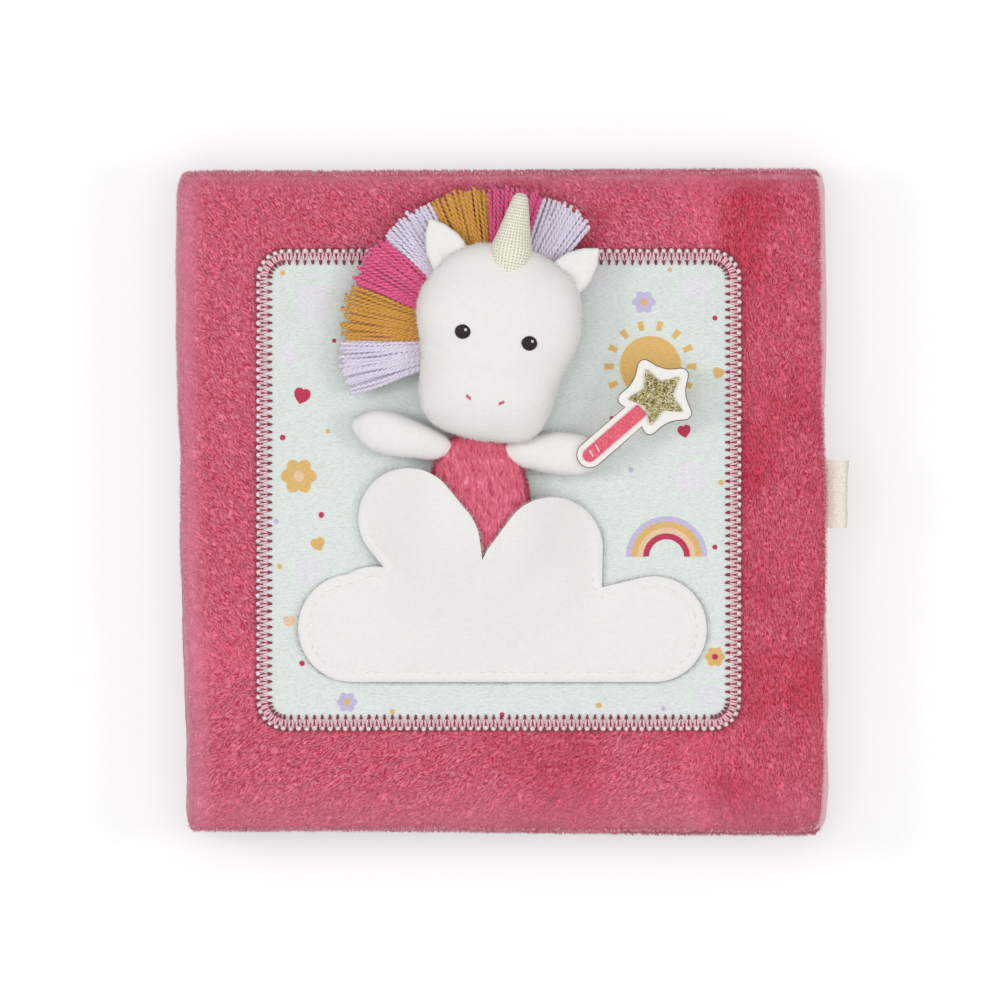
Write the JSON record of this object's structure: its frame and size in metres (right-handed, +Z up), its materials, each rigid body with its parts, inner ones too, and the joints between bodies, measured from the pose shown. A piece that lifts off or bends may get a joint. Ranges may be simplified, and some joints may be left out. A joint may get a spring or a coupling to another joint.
{
  "type": "crinkle cloth book",
  "caption": "Square crinkle cloth book with padded plush covers on a hinged spine, padded leaves, and a small plush doll that slides out of a cloud-shaped pocket.",
  "frame": {"origin": "centre of the back cover's underside, the face that the closed book lies on", "axes": "+Z up through the closed book, +Y towards the top of the page, -X towards the spine"},
  "size_m": [0.2055, 0.206, 0.0598],
  "materials": {
    "plush": "short crimson-pink pile",
    "wadding": "polyester wadding",
    "page_cloth": "pale pink cotton",
    "crinkle_film": "thin crinkling film",
    "tape": "natural cotton twill tape",
    "printed_jersey": "pale mint printed jersey",
    "edging_thread": "overlocked crimson and white thread",
    "white_plush": "short off-white pile",
    "white_thread": "white sewing thread",
    "canvas": "natural open-weave canvas",
    "eye_thread": "dark embroidery thread",
    "lilac_yarn": "lilac two-ply yarn",
    "ochre_yarn": "ochre two-ply yarn",
    "magenta_yarn": "magenta two-ply yarn",
    "felt": "white felt with a dark cut edge",
    "crimson_print": "crimson printed cloth",
    "gold_glitter": "gold glitter foil"
  },
  "bodies": {
    "back_cover": {"back_cover_plush": "plush", "back_cover_padding": "wadding", "back_cover_lining": "page_cloth"},
    "spine": {"spine_plush": "plush", "spine_padding": "wadding", "spine_lining": "page_cloth"},
    "front_cover": {"front_cover_plush": "plush", "front_cover_padding": "wadding", "front_cover_crinkle_film": "crinkle_film", "front_cover_lining": "page_cloth", "tape_loop": "tape", "scene_patch": "printed_jersey", "patch_edging": "edging_thread", "cloud_pocket": "white_plush", "pocket_stitching": "white_thread"},
    "leaf_1": {"leaf_1_front_cloth": "page_cloth", "leaf_1_wadding": "wadding", "leaf_1_crinkle_film": "crinkle_film", "leaf_1_back_cloth": "page_cloth"},
    "leaf_2": {"leaf_2_front_cloth": "page_cloth", "leaf_2_wadding": "wadding", "leaf_2_crinkle_film": "crinkle_film", "leaf_2_back_cloth": "page_cloth"},
    "doll": {"doll_torso": "plush", "doll_left_arm": "white_plush", "doll_right_arm": "white_plush", "doll_head": "white_plush", "doll_left_ear": "white_plush", "doll_right_ear": "white_plush", "doll_horn": "canvas", "doll_left_eye": "eye_thread", "doll_right_eye": "eye_thread", "mane_tuft_1": "lilac_yarn", "mane_tuft_2": "ochre_yarn", "mane_tuft_3": "magenta_yarn", "mane_tuft_4": "lilac_yarn", "mane_tuft_5": "ochre_yarn", "mane_tuft_6": "magenta_yarn", "mane_tuft_7": "lilac_yarn", "wand_backing": "felt", "wand_stick": "crimson_print", "wand_star": "gold_glitter"}
  },
  "joints": [
    {"name": "spine_hinge", "type": "hinge", "parent": "back_cover", "child": "spine", "pos_m": [-0.1, 0, 0], "axis": [0, -1, 0], "range_deg": [0, 90]},
    {"name": "front_cover_hinge", "type": "hinge", "parent": "spine", "child": "front_cover", "pos_m": [-0.1, 0, 0.0336], "axis": [0, -1, 0], "range_deg": [0, 90]},
    {"name": "leaf_1_hinge", "type": "hinge", "parent": "spine", "child": "leaf_1", "pos_m": [-0.0935, 0, 0.02075], "axis": [0, -1, 0], "range_deg": [0, 67.5]},
    {"name": "leaf_2_hinge", "type": "hinge", "parent": "spine", "child": "leaf_2", "pos_m": [-0.0935, 0, 0.01285], "axis": [0, -1, 0], "range_deg": [-67.5, 0]},
    {"name": "doll_slide", "type": "slide", "parent": "front_cover", "child": "doll", "axis": [0, 1, 0], "range_m": [0, 0.05]}
  ],
  "couplings": [
    {"joint": "leaf_1_hinge", "follows": "front_cover_hinge", "ratio": 0.75},
    {"joint": "leaf_2_hinge", "follows": "spine_hinge", "ratio": -0.75}
  ]
}
